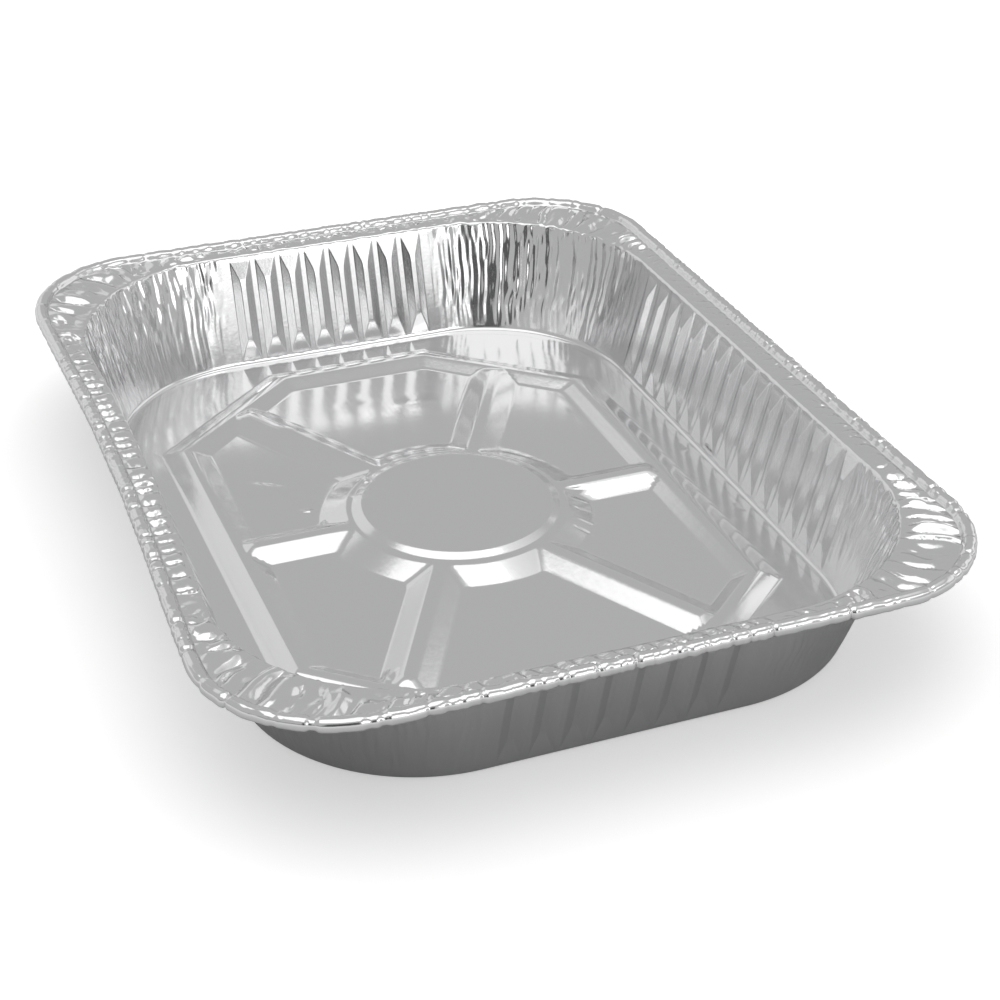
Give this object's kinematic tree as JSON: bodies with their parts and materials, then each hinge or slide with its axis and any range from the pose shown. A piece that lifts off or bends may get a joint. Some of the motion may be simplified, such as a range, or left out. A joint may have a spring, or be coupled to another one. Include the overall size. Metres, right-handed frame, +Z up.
{
  "type": "foil roasting pan",
  "caption": "Shallow rectangular foil roasting pan with round corners, ribbed sloping walls, a raised frame and spokes in its base, and a gathered flange with a rolled bead.",
  "frame": {"origin": "middle of the base, on the surface the pan stands on", "axes": "+X across the pan, the shorter way; +Y along the pan, the longer way; +Z up, towards the open top"},
  "size_m": [0.248, 0.324, 0.0459],
  "materials": {
    "foil": "bright rolled foil, smooth and mirror-like, lightly crumpled at the corners"
  },
  "bodies": {
    "root": {"pan": "foil"}
  },
  "joints": []
}
